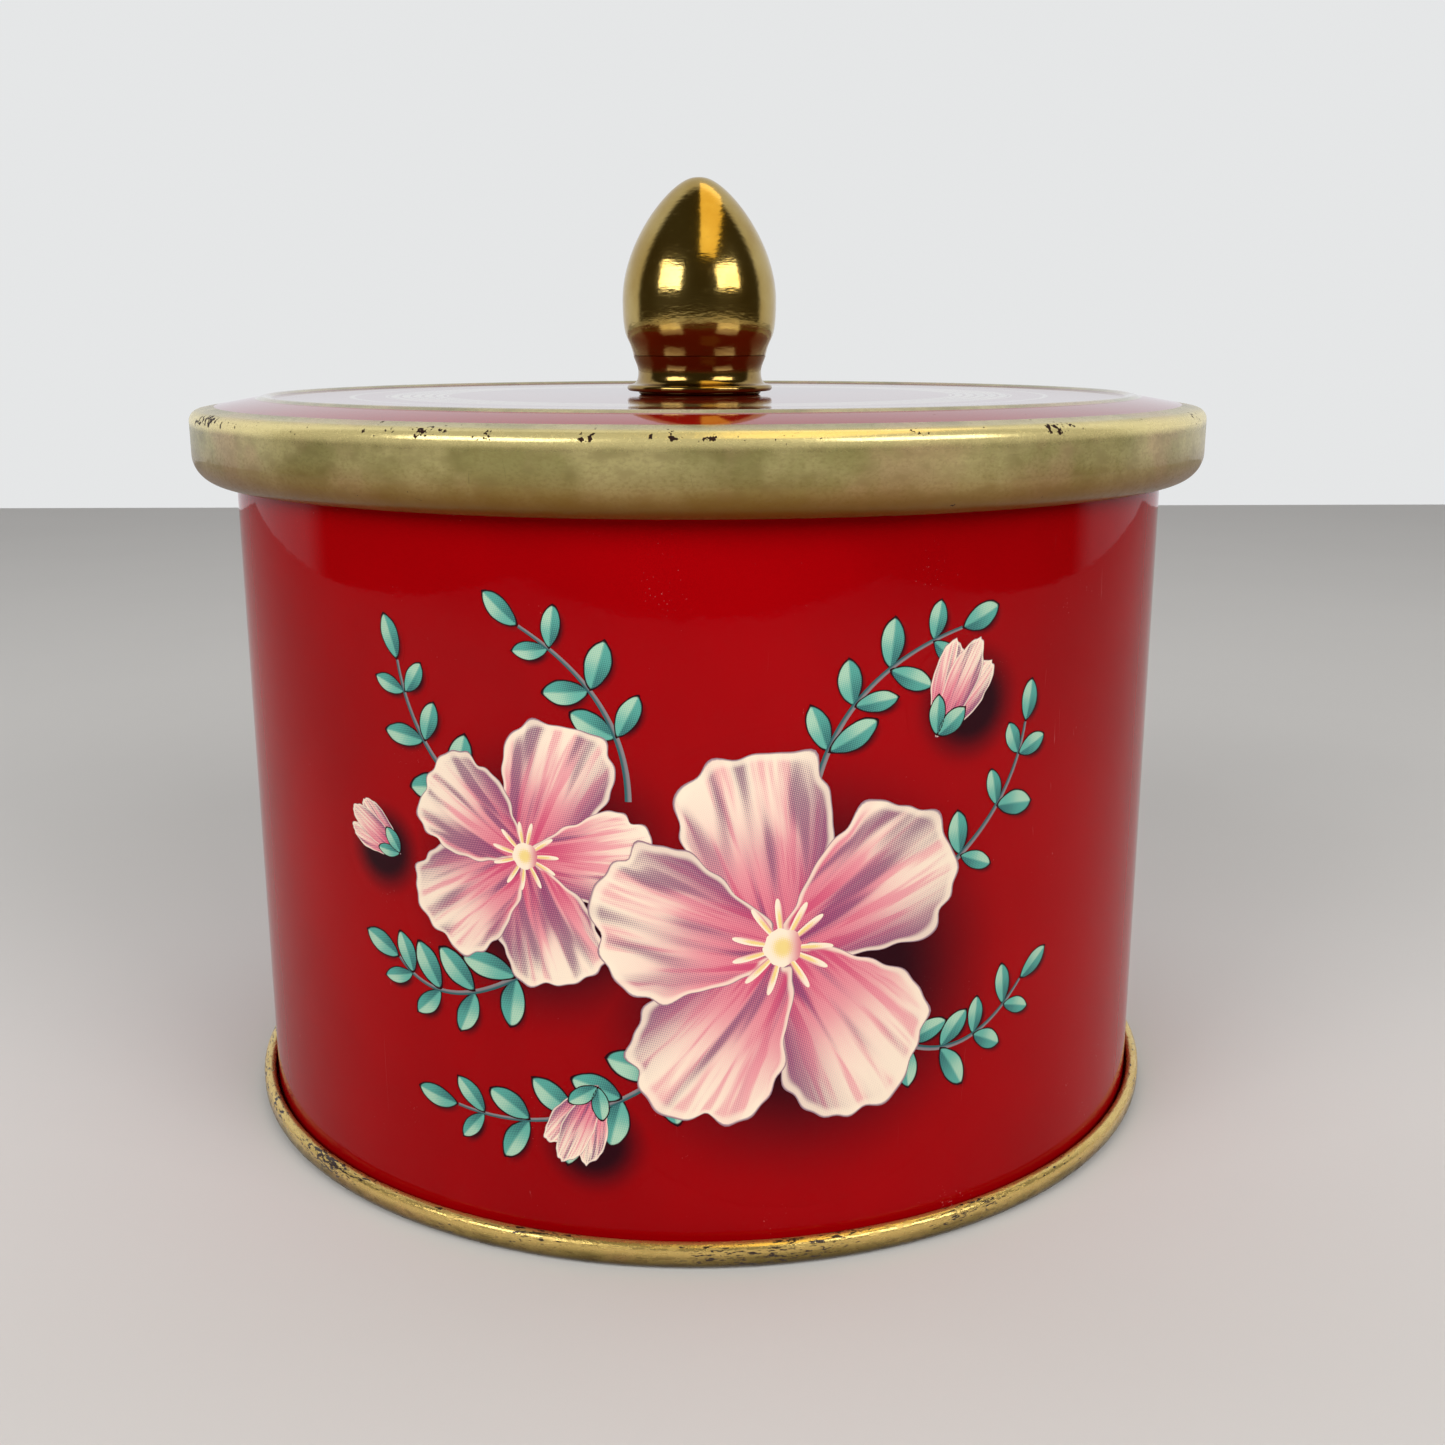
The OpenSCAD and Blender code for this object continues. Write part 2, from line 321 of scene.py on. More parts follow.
def redColour(tree, place):
    # the red lacquer's colour, a little uneven, with pale specks and hair scratches
    uneven = useGroup(tree, cloud, Place=place, Scale=0.02, Low=0.3, High=0.7)["Mask"]
    colour = mixColour(tree, uneven, lacquer["deep"], lacquer["red"])
    fleck = useGroup(tree, spots, Place=place, Size=0.35, Crowd=9.0, Amount=-0.02)["Mask"]
    hair = useGroup(tree, hairs, Place=stretch(tree, place, (0.9, 0.9, 0.035), (3, 8, 0)),
                    Width=0.004, Amount=0.02)["Mask"]
    worn = calc(tree, "MULTIPLY", calc(tree, "MAXIMUM", fleck, hair), 0.35)
    return mixColour(tree, worn, colour, lacquer["dust"]), worn


tin = dict(pale=(0.52, 0.50, 0.45, 1), dull=(0.33, 0.31, 0.27, 1), stain=(0.20, 0.15, 0.09, 1))


def redLacquer(lineW, lineD, margin):
    material, tree, shader, place = newMaterial("redLacquer", **varnish)
    colour, worn = redColour(tree, place)
    # the lacquer stops short of the side seam at the back, where bare tin and its groove show
    arc = useGroup(tree, turnedPlace, Place=place)["Arc"]
    fromBack = calc(tree, "SUBTRACT", math.pi * bodyRadius, calc(tree, "ABSOLUTE", arc))
    bare = mapRange(tree, fromBack, margin - 0.08, margin + 0.08, 1.0, 0.0)
    groove = mapRange(tree, fromBack, lineW * 0.4, lineW * 0.8, 1.0, 0.0)
    colour = mixColour(tree, bare, colour, tin["dull"])
    colour = mixColour(tree, calc(tree, "MULTIPLY", groove, 0.7), colour, tin["stain"])
    feed(tree, shader.inputs["Base Color"], colour)
    feed(tree, shader.inputs["Metallic"], calc(tree, "MULTIPLY", bare, 0.9))
    feed(tree, shader.inputs["Roughness"], mapRange(tree, worn, 0, 0.4, 0.22, 0.5))
    peel = useGroup(tree, orangePeel, Place=place, Size=1.6)["Height"]
    setBump(tree, shader, calc(tree, "SUBTRACT", calc(tree, "MULTIPLY", peel, 0.04), groove),
            lineD)
    return material


def bareTinplate():
    material, tree, shader, place = newMaterial("bareTinplate", Metallic=1.0)
    spangle = useGroup(tree, cloud, Place=place, Scale=0.35, Low=0.35, High=0.65)["Mask"]
    colour = mixColour(tree, spangle, tin["dull"], tin["pale"])
    stain = useGroup(tree, cloud, Place=place, Scale=0.07, Low=0.56, High=0.8)["Mask"]
    colour = mixColour(tree, calc(tree, "MULTIPLY", stain, 0.5), colour, tin["stain"])
    feed(tree, shader.inputs["Base Color"], colour)
    feed(tree, shader.inputs["Roughness"], mapRange(tree, spangle, 0, 1, 0.42, 0.3))
    rolled = noise(tree, stretch(tree, place, (0.4, 0.4, 8)), 1.0, 2.0)
    setBump(tree, shader, rolled, 0.004)
    return material


# gold tones; two dark browns are painted shade, at the bottom of the lid's rim and at the seam's foot,
# and a pale gold is painted highlight on the lid's shoulder and the seam's top
gold = dict(pale=(0.48, 0.41, 0.185, 1), low=(0.17, 0.07, 0.004, 1), green=(0.30, 0.265, 0.10, 1),
            pink=(0.48, 0.335, 0.18, 1), paintedHighlight=(0.84, 0.72, 0.33, 1), chip=(0.03, 0.015, 0.012, 1),
            warm=(1.0, 0.85, 0.6, 1),
            brown=(0.12, 0.078, 0.027, 1), footShade=(0.045, 0.027, 0.01, 1), body=0.5)


def mottledGold(tree, place):
    # gold lacquer with clouds of a greener tone and fine grime
    clouds = useGroup(tree, cloud, Place=place, Scale=0.1, Low=0.38, High=0.62)["Mask"]
    colour = mixColour(tree, clouds, gold["green"], gold["pale"])
    flush = useGroup(tree, cloud, Place=stretch(tree, place, (1, 1, 1), (40, 0, 0)), Scale=0.07,
                     Low=0.5, High=0.66)["Mask"]
    colour = mixColour(tree, calc(tree, "MULTIPLY", flush, 0.7), colour, gold["pink"])
    grain = useGroup(tree, cloud, Place=stretch(tree, place, (1, 1, 1.6)), Scale=1.9, Low=0.36,
                    High=0.76)["Mask"]
    smoky = useGroup(tree, cloud, Place=stretch(tree, place, (1, 1, 2.2), (0, 0, 30)), Scale=0.32,
                     Low=0.42, High=0.66)["Mask"]
    dirt = calc(tree, "MAXIMUM", calc(tree, "MULTIPLY", grain, 0.34),
                calc(tree, "MULTIPLY", smoky, 0.3))
    return mixColour(tree, dirt, colour, gold["brown"]), grain


bands = dict(goldFrom=65.7, beadLow=58.4, beadHigh=60.5, pinLow=47.6, pinHigh=48.3,
             printLow=35.0, printHigh=43.5, soft=0.08)
chipClusters = ((-66.0, 7.0), (-26.0, 3.5), (-1.0, 7.5), (38.0, 5.0), (96.0, 6.0), (-130.0, 9.0))


def lidLacquer(lidTop, lipBottom):
    material, tree, shader, place = newMaterial("lidLacquer", Coat_Weight=1.0,
                                                Coat_Roughness=0.05, Coat_IOR=1.36,
                                                Specular_IOR_Level=0.0)
    where = useGroup(tree, turnedPlace, Place=place)
    radius, height, arc, unrolled = (where[k] for k in ("Radius", "Height", "Arc", "Unrolled"))
    goldColour, grain = mottledGold(tree, place)
    # painted shade: the rim's gold is darkened to brown towards the bottom, where the lip turns under
    shadedBelow = mapRange(tree, height, lipBottom + 6.2, lipBottom + 0.9)
    goldColour = mixColour(tree, calc(tree, "MULTIPLY", shadedBelow, 0.9), goldColour, gold["low"])
    # painted highlight: a band of pale gold along the shoulder, just below the top
    shoulderHighlight = calc(tree, "ABSOLUTE", calc(tree, "SUBTRACT", height, lidTop - 2.1))
    shoulderHighlight = mapRange(tree, shoulderHighlight, 0.3, 1.3, 0.8, 0.0)
    goldColour = mixColour(tree, shoulderHighlight, goldColour, gold["paintedHighlight"])
    redTop, worn = redColour(tree, place)
    # painted shade: the red panel inside the bead is darkened, as if it took less light than the wall
    inside = mapRange(tree, radius, bands["beadHigh"], bands["beadLow"], 0.0, 0.55)
    redTop = mixColour(tree, inside, redTop, lacquer["dark"])

    def ring(low, high):
        rise = mapRange(tree, radius, low - bands["soft"], low + bands["soft"])
        fall = mapRange(tree, radius, high - bands["soft"], high + bands["soft"], 1.0, 0.0)
        return calc(tree, "MULTIPLY", rise, fall)

    onRim = mapRange(tree, radius, bands["goldFrom"] - bands["soft"],
                     bands["goldFrom"] + bands["soft"])
    fine = calc(tree, "SINE", calc(tree, "MULTIPLY", radius, 4.2))
    lines = mapRange(tree, fine, -0.75, -0.5)
    printed = calc(tree, "MULTIPLY", ring(bands["printLow"], bands["printHigh"]), lines)
    isGold = onRim
    for mask in (printed, ring(bands["pinLow"], bands["pinHigh"]),
                 ring(bands["beadLow"], bands["beadHigh"])):
        isGold = calc(tree, "MAXIMUM", isGold, mask)
    colour = mixColour(tree, isGold, redTop, goldColour)
    # chips crowd along the shoulder in a few places
    near = mapRange(tree, calc(tree, "ABSOLUTE", calc(tree, "SUBTRACT", height, lidTop - 1.9)),
                    0.2, 1.3, 1.0, 0.0)
    crowded = 0.0
    for at, spread in chipClusters:
        off = calc(tree, "ABSOLUTE", calc(tree, "SUBTRACT", arc, at))
        crowded = calc(tree, "MAXIMUM", crowded, mapRange(tree, off, 0.3 * spread, spread, 1, 0))
    shoulderWear = calc(tree, "MULTIPLY", near, calc(tree, "MULTIPLY_ADD", crowded, 0.17, 0.165))
    chipped = useGroup(tree, spots, Place=place, Size=0.9, Crowd=5.0,
                       Amount=calc(tree, "SUBTRACT", shoulderWear, 0.06))["Mask"]
    scratched = useGroup(tree, hairs, Place=stretch(tree, unrolled, (0.8, 0.8, 0.12), (0, 9, 0)),
                         Width=0.005, Amount=0.06)["Mask"]
    dragged = useGroup(tree, hairs, Place=stretch(tree, unrolled, (0.1, 0.5, 1.2), (0, -4, 0)),
                       Width=0.006, Amount=0.02)["Mask"]
    marks = calc(tree, "MULTIPLY", calc(tree, "MAXIMUM", scratched, dragged), 0.6)
    bare = calc(tree, "MAXIMUM", chipped, calc(tree, "MULTIPLY", marks, onRim))
    colour = mixColour(tree, bare, colour, gold["chip"])
    feed(tree, shader.inputs["Base Color"], colour)
    feed(tree, shader.inputs["Metallic"], calc(
        tree, "MULTIPLY", isGold, mapRange(tree, bare, 0, 1, gold["body"], 0.2)))
    handled = mapRange(tree, height, lidTop - 4.2, lidTop - 2.2, 0.0, 0.1)
    satin = calc(tree, "SUBTRACT", mapRange(tree, grain, 0, 1, 0.30, 0.40), handled)
    feed(tree, shader.inputs["Roughness"], mapRange(tree, isGold, 0, 1, 0.25, satin))
    coat = mapRange(tree, onRim, 0, 1, 1.0, 0.35)
    feed(tree, shader.inputs["Coat Weight"], calc(
        tree, "MULTIPLY", coat, mapRange(tree, bare, 0, 1, 1.0, 0.1)))
    peel = useGroup(tree, orangePeel, Place=place, Size=0.8)["Height"]
    dented = calc(tree, "SUBTRACT", calc(tree, "MULTIPLY", peel, mapRange(tree, onRim, 0, 1, 0.25, 1)),
                  calc(tree, "MULTIPLY", bare, 0.8))
    setBump(tree, shader, dented, 0.012)
    return material


def seamGold():
    # gold lacquer on the bottom: rubbed and spotted along the seam, with painted highlight along its
    # top and painted shade at its foot
    material, tree, shader, place = newMaterial("seamGold", Coat_Weight=0.15, Coat_Roughness=0.2)
    where = useGroup(tree, turnedPlace, Place=place)
    mottled, grain = mottledGold(tree, place)
    panel = mixColour(tree, 0.6, mottled, gold["pale"])
    outside = mapRange(tree, where["Radius"], bodyRadius - 0.6, bodyRadius + 0.2)
    streaks = stretch(tree, where["Unrolled"], (0.35, 1, 1.6))
    worn = useGroup(tree, cloud, Place=streaks, Scale=1.6, Low=0.5, High=0.62)["Mask"]
    colour = mixColour(tree, calc(tree, "MULTIPLY", worn, 0.35), mottled, gold["brown"])
    # painted highlight: paler gold towards the top of the seam
    paintedHighlight = mapRange(tree, where["Height"], 1.6, 2.5, 0.0, 0.75)
    colour = mixColour(tree, paintedHighlight, colour, gold["paintedHighlight"])
    # painted shade: darker brown towards the foot of the seam
    foot = mapRange(tree, where["Height"], 2.0, 0.5)
    colour = mixColour(tree, calc(tree, "MULTIPLY", foot, 0.85), colour, gold["footShade"])
    colour = mixColour(tree, 1.0, colour, gold["warm"], "MULTIPLY")
    dark = useGroup(tree, spots, Place=streaks, Size=0.42, Crowd=4.0, Amount=0.15)["Mask"]
    colour = mixColour(tree, dark, colour, gold["chip"])
    rust = useGroup(tree, spots, Place=place, Size=1.3, Crowd=12.0, Amount=0.03)["Mask"]
    panel = mixColour(tree, calc(tree, "MULTIPLY", rust, 0.7), panel, gold["brown"])
    feed(tree, shader.inputs["Base Color"], mixColour(tree, outside, panel, colour))
    dark = calc(tree, "MULTIPLY", dark, outside)
    feed(tree, shader.inputs["Metallic"], mapRange(tree, dark, 0, 1, 0.8, 0.3))
    rough = calc(tree, "MULTIPLY", worn, outside)
    feed(tree, shader.inputs["Roughness"], mapRange(tree, rough, 0, 1, 0.26, 0.42))
    setBump(tree, shader, calc(tree, "SUBTRACT", calc(tree, "MULTIPLY", grain, 0.5), rough), 0.02)
    return material


brassTones = dict(bright=(0.52, 0.39, 0.135, 1), warm=(0.43, 0.29, 0.075, 1),
                  tarnish=(0.24, 0.14, 0.045, 1), dull=(0.42, 0.31, 0.13, 1))


def polishedBrass(lidTop):
    material, tree, shader, place = newMaterial("polishedBrass", Metallic=1.0)
    tone = useGroup(tree, cloud, Place=place, Scale=0.16, Low=0.3, High=0.7)["Mask"]
    colour = mixColour(tree, tone, brassTones["warm"], brassTones["bright"])
    tarnish = useGroup(tree, cloud, Place=place, Scale=0.9, Low=0.55, High=0.75)["Mask"]
    height = useGroup(tree, turnedPlace, Place=place)["Height"]
    # the tarnish clouds are the brass's own; their strength towards the bottom of the knob is a painted
    # reflection of the dark lid, browning it near the lid
    low = mapRange(tree, height, lidTop + 9.5, lidTop + 4, 0.12, 0.75)
    tarnishAndLowShade = calc(tree, "MULTIPLY", mapRange(tree, tarnish, 0, 1, 0.75, 1.0), low)
    colour = mixColour(tree, tarnishAndLowShade, colour, brassTones["tarnish"])
    feed(tree, shader.inputs["Base Color"], colour)
    feed(tree, shader.inputs["Roughness"], mapRange(tree, tarnish, 0, 1, 0.14, 0.22))
    drawn = useGroup(tree, orangePeel, Place=stretch(tree, place, (0.5, 0.5, 1.6)), Size=0.7)
    setBump(tree, shader, drawn["Height"], 0.02)
    return material


def turnedBrass():
    material, tree, shader, place = newMaterial("turnedBrass", Metallic=1.0)
    grooves = noise(tree, stretch(tree, place, (0.2, 0.2, 9)), 1.0, 2.0)
    colour = mixColour(tree, grooves, brassTones["dull"], brassTones["bright"])
    feed(tree, shader.inputs["Base Color"], colour)
    feed(tree, shader.inputs["Roughness"], mapRange(tree, grooves, 0, 1, 0.3, 0.45))
    setBump(tree, shader, grooves, 0.01)
    return material


zinc = dict(pale=(0.55, 0.55, 0.54, 1), dull=(0.36, 0.36, 0.35, 1), rust=(0.16, 0.07, 0.03, 1))


def platedSteel():
    material, tree, shader, place = newMaterial("platedSteel", Metallic=1.0)
    tone = useGroup(tree, cloud, Place=place, Scale=0.8, Low=0.35, High=0.65)["Mask"]
    colour = mixColour(tree, tone, zinc["dull"], zinc["pale"])
    rust = useGroup(tree, spots, Place=place, Size=0.7, Crowd=3.0, Amount=-0.03)["Mask"]
    colour = mixColour(tree, rust, colour, zinc["rust"])
    feed(tree, shader.inputs["Base Color"], colour)
    feed(tree, shader.inputs["Roughness"], mapRange(tree, tone, 0, 1, 0.42, 0.3))
    setBump(tree, shader, tone, 0.006)
    return material


# Sizes, in millimetres, from the frame where the frame holds them
def nodeBox(node):
    return [[v / mm for v in corner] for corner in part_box(node)]


wallHigh = nodeBox("body_wall")[1]
seamHigh = nodeBox("bottom_end")[1]
lidLow, lidHigh = nodeBox("lid_cap")
knobHigh = nodeBox("knob_shell")[1]
sheet = 0.3
half = sheet / 2
foldGap = 0.1
hookGap = 0.3

seamReach = 2
layer = seamReach / 3
bodyR = seamHigh[0] - seamReach
wallR = bodyR - half
bodyH = wallHigh[2]
print("frame read: body radius %.2f, lid radius %.2f" % (bodyR, lidHigh[0]))

# Body wall: hooked into the double seam below, rolled inwards above
wall = dict(rollD=2.2, rollTurn=295, lockW=3.6, lockStep=0.25, lineW=0.3, lineD=0.1, margin=1.1,
            lockBite=0.1)
hookZ = sheet + foldGap + layer + half
curlZ = seamHigh[2] - half - layer
rollR = wall["rollD"] / 2 - half
wallPath = joinRuns(
    [(wallR + 2 * layer, curlZ + layer - half - hookGap)],
    arcPoints((wallR + layer, hookZ), layer, 0, -180, 14),
    arcPoints((wallR - rollR, bodyH - wall["rollD"] / 2), rollR, 0, wall["rollTurn"], 30))
bodyWall = turned("tinWall", sheetOutline(wallPath, sheet), roundSteps)
bodyWall.data.materials.append(redLacquer(wall["lineW"], wall["lineD"], wall["margin"]))
bodyWall.data.materials.append(bareTinplate())
paintSides(bodyWall, wallPath, 1, 0)
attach(bodyWall, "tin")
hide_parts("body_wall")


def backStrip(name, rIn, rOut, width, z0, z1, steps=24):
    # a strip bent round the back of the tin
    deselectAll()
    bpy.ops.mesh.primitive_cube_add(size=1)
    strip = bpy.context.object
    strip.name = name
    strip.data.name = name
    bpy.ops.object.mode_set(mode="EDIT")
    bpy.ops.mesh.select_all(action="SELECT")
    bpy.ops.mesh.subdivide(number_cuts=steps)
    bpy.ops.object.mode_set(mode="OBJECT")
    for vertex in strip.data.vertices:
        turn = vertex.co.x * width / rOut
        radius = (rIn + (vertex.co.y + 0.5) * (rOut - rIn)) * mm
        height = (z0 + (vertex.co.z + 0.5) * (z1 - z0)) * mm
        vertex.co = (radius * math.sin(turn), radius * math.cos(turn), height)
    strip.data.materials.append(bodyWall.data.materials[1])
    bpy.ops.object.shade_smooth_by_angle(angle=math.radians(32))
    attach(strip, "tin")
    return strip


# Locked side seam: two folds against the inside of the wall, at the back
lockLow, lockHigh = seamHigh[2] + hookGap, bodyH - wall["rollD"] - hookGap
innerR = wallR - half
backStrip("sideSeamFold", innerR - wall["lockStep"], innerR + wall["lockBite"],
          wall["lockW"], lockLow, lockHigh)
backStrip("sideSeamLock", innerR - 2 * wall["lockStep"], innerR - wall["lockStep"] / 2,
          wall["lockW"] * 0.7, lockLow + hookGap, lockHigh - hookGap)
print("body wall done")

# Bottom: stepped panel, chuck wall and the outer layers of the double seam
bottom = dict(recess=2.6, stepInset=13.5, bend=1.2, turn=35, play=0.05, footBend=0.6,
              seamBend=0.6 * seamReach, panelBend=0.8)
footR = seamHigh[0] - half
chuckR = wallR - sheet - bottom["play"]
panelMid = bottom["recess"] + half
stepR = bodyR - bottom["stepInset"]
rise = 2 * bottom["bend"] * (1 - math.cos(math.radians(bottom["turn"])))
run = bottom["bend"] * math.sin(math.radians(bottom["turn"]))
bottomPath = joinRuns(
    [(0, panelMid + rise)],
    arcPoints((stepR - run, panelMid + rise - bottom["bend"]), bottom["bend"], 90,
              90 - bottom["turn"]),
    arcPoints((stepR + run, panelMid + bottom["bend"]), bottom["bend"], -90 - bottom["turn"], -90),
    arcPoints((chuckR - bottom["panelBend"], panelMid - bottom["panelBend"]),
              bottom["panelBend"], 90, 0),
    arcPoints((chuckR + bottom["footBend"], half + bottom["footBend"]), bottom["footBend"],
              180, 270),
    arcPoints((footR - bottom["seamBend"], half + bottom["seamBend"]), bottom["seamBend"],
              -90, 0, 16),
    arcPoints((footR - layer, curlZ), layer, 0, 180, 16),
    [(footR - 2 * layer, hookZ - layer + half + hookGap)])[::-1]
bottomEnd = turned("tinBottom", sheetOutline(bottomPath, sheet, onAxis=True), roundSteps,
                   closed=False)
bottomEnd.data.materials.append(seamGold())
bottomEnd.data.materials.append(bodyWall.data.materials[1])
paintSides(bottomEnd, bottomPath, 0, 1)
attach(bottomEnd, "tin")
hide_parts("bottom_end")
print("bottom done")

# Lid: flat panel, raised bead, sloped band, shoulder, rounded rim and guide flange
lid = dict(rimH=9.3, shoulderR=1.5, bellyR=3.7, lipR=1, guideH=3, play=0.3, seatGap=0.15,
           slope=10, beadInset=4.1, beadW=2.8, beadH=0.4, holeR=2.2)
slope = math.radians(lid["slope"])


def bandZ(radius):
    return (bodyH + lid["seatGap"] + half / math.cos(slope)
            - (radius - (bodyR - wall["rollD"] / 2)) * math.tan(slope))


lidR = lidHigh[0]
beadR = bodyR - lid["beadInset"]
panelZ = bandZ(beadR + lid["beadW"] / 2)
lidTop = panelZ + half
shoulderBend = lid["shoulderR"] - half
shoulder = (lidR - lid["shoulderR"],
            bandZ(lidR - lid["shoulderR"] + shoulderBend * math.sin(slope))
            - shoulderBend * math.cos(slope))
lip = (bodyR + lid["play"] + lid["lipR"], shoulder[1] + lid["shoulderR"] - lid["rimH"] + lid["lipR"])
bellyX = lidR - lid["bellyR"]
belly = (bellyX, lip[1] + math.sqrt((lid["bellyR"] - lid["lipR"])**2 - (lip[0] - bellyX)**2))
lipTurn = math.degrees(math.atan2(lip[1] - belly[1], lip[0] - belly[0]))
bead = [(beadR + i / 12 * lid["beadW"] / 2,
         panelZ + lid["beadH"] * (1 + math.cos(math.pi * i / 12)) / 2) for i in range(-12, 13)]
lidPath = joinRuns(
    [(lid["holeR"], panelZ)],
    [(20, panelZ), (40, panelZ)],
    bead,
    arcPoints(shoulder, shoulderBend, 90 - lid["slope"], 0, 16),
    arcPoints(belly, lid["bellyR"] - half, 0, lipTurn, 24),
    arcPoints(lip, lid["lipR"] - half, lipTurn, -180, 14),
    [(lip[0] - lid["lipR"] + half, lip[1] + lid["guideH"])])
lidCap = turned("lidCap", sheetOutline(lidPath, sheet), roundSteps)
lidCap.data.materials.append(lidLacquer(lidTop, lidLow[2]))
lidCap.data.materials.append(bodyWall.data.materials[1])
paintSides(lidCap, lidPath, 0, 1)
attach(lidCap, "lid")
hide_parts("lid_cap")
print("lid done, top at %.3f" % lidTop)

# Knob: drawn egg over a necked collar
knob = dict(wideH=12.7, jointH=5.4, jointInset=1.4, flangeInset=0.5, neckInset=2.05, brass=0.4,
            crownR=0.5, spigotH=2, spigotPlay=0.03, barrelD=7, neckH=3, flangeH=0.95,
            edgeInset=0.05, lineLow=0.24, lineHigh=0.09)
brass = knob["brass"]
mid = brass / 2
knobR = knobHigh[0]
knobH = knobHigh[2] - lidTop
jointR = knobR - knob["jointInset"]
knobMaterial = polishedBrass(lidTop)


def raised(path):
    return [(r, z + lidTop) for r, z in path]


wide = (knobR - mid, knob["wideH"])
top = (knob["crownR"], knobH - mid)
joint = (jointR - mid, knob["jointH"])
swellH = knob["wideH"] - knob["jointH"]
crownH = knobH - knob["wideH"]
shellPath = raised(joinRuns(
    curvePoints(joint, (joint[0] + 0.6, joint[1] + 0.42 * swellH),
                (wide[0], wide[1] - 0.8 * swellH), wide, 24),
    curvePoints(wide, (wide[0], wide[1] + 0.49 * crownH), (top[0] + 0.28 * knobR, top[1]), top, 40),
    [(0, top[1])]))
knobShell = turned("knobShell", sheetOutline(shellPath, brass, onAxis=True), knobSteps,
                   closed=False)
knobShell.data.materials.append(knobMaterial)
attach(knobShell, "lid")
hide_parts("knob_shell")

outR = jointR - mid
bend = mid + foldGap / 2
flange = (knobR - knob["flangeInset"] - mid - bend, knob["flangeH"])
edge = (outR - knob["edgeInset"], knob["jointH"] - knob["lineLow"])
neck = (knobR - knob["neckInset"] - mid, knob["neckH"])
foot = (neck[0], mid + bend)
spigotR = jointR - brass - knob["spigotPlay"] - mid
collarPath = raised(joinRuns(
    [(spigotR, knob["jointH"] + knob["spigotH"])],
    [(spigotR, knob["jointH"] - knob["lineHigh"])],
    curvePoints(edge, (edge[0] - 0.34, edge[1] - 0.9), (neck[0], neck[1] + 0.9), neck, 16),
    curvePoints(neck, (neck[0], neck[1] - 1.1), (flange[0] - 0.9, flange[1] + bend),
                (flange[0], flange[1] + bend), 16),
    arcPoints(flange, bend, 90, -90),
    curvePoints((flange[0], flange[1] - bend), (flange[0] - 0.8, flange[1] - bend),
                (foot[0], foot[1] + 0.1), foot, 10),
    arcPoints((foot[0] - bend, foot[1]), bend, 0, -90),
    [(knob["barrelD"] / 2, mid)]))
knobCollar = turned("knobCollar", sheetOutline(collarPath, brass), knobSteps, smoothAngle=45)
knobCollar.data.materials.append(knobMaterial)
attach(knobCollar, "lid")
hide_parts("knob_collar")

for node, material in (("knob_insert", turnedBrass()), ("knob_screw", platedSteel())):
    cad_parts[node].data.materials.clear()
    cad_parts[node].data.materials.append(material)
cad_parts["knob_washer"].data.materials.clear()
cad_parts["knob_washer"].data.materials.append(
    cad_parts["knob_screw"].data.materials[0])
print("knob done")

# Printed spray: thin patches of ink, laid over one another on the wall. Places are (arc, height).
ink = dict(thick=0.005, step=0.007)
rng = random.Random(7)


def discGrid(cells):
    # a square grid drawn out to a disc of radius 1, and its places on that disc
    deselectAll()
    bpy.ops.mesh.primitive_grid_add(x_subdivisions=cells, y_subdivisions=cells, size=2)
    patch = bpy.context.object
    flat = np.empty(len(patch.data.vertices) * 3)
    patch.data.vertices.foreach_get("co", flat)
    x, y = flat.reshape(-1, 3)[:, :2].T
    return patch, x * np.sqrt(1 - y * y / 2), y * np.sqrt(1 - x * x / 2)


def layOn(patch, arc, height, part, level, tone):
    # the patch wrapped on the wall, with its own place in one UV map and the wall's in another
    radius = (bodyR + level * ink["step"]) * mm
    turn = arc / bodyR
    places = np.stack([radius * np.sin(turn), -radius * np.cos(turn), height * mm], axis=1)
    patch.data.vertices.foreach_set("co", places.ravel())
    corners = np.empty(len(patch.data.loops), int)
    patch.data.loops.foreach_get("vertex_index", corners)
    patch.data.uv_layers[0].name = "ownPlace"
    wallMap = patch.data.uv_layers.new(name="wallPlace")
    for uvMap, values in ((patch.data.uv_layers["ownPlace"], np.stack(part, axis=1)),
                          (wallMap, np.stack([arc, height], axis=1))):
        uvMap.data.foreach_set("uv", values[corners].ravel())
    tones = patch.data.attributes.new("tone", "FLOAT", "POINT")
    tones.data.foreach_set("value", np.full(len(places), tone))
    return patch


def turnedTo(across, along, place, heading):
    # heading is in degrees from straight up, to the right
    a = math.radians(heading)
    return (place[0] + across * math.cos(a) + along * math.sin(a),
            place[1] - across * math.sin(a) + along * math.cos(a))


def petalPatch(place, heading, length, width, level, ruffle=0.05, base=0.3, bend=0.0, point=0.0,
               cells=36, tone=None):
    patch, x, y = discGrid(cells)
    reach, turn = np.hypot(x, y), np.arctan2(y, x)
    waves = sum(rng.uniform(0.5, 1) * 9 / (k + 3) * np.sin(k * turn + rng.uniform(0, 6.28))
                for k in (5, 8, 13, 19))
    swell = 1 + ruffle * reach**5 * waves
    along = (y * swell + 1) / 2
    across = x * swell * (base + (1 - base) * np.clip(along, 0, None)**0.8)
    across *= np.clip(1 - y * y, 0, 1)**point
    arc, height = turnedTo(across * width / 2 + bend * length * along**2, along * length, place,
                           heading)
    return layOn(patch, arc, height, ((x + 1) / 2, (y + 1) / 2), level,
                 rng.random() if tone is None else tone)


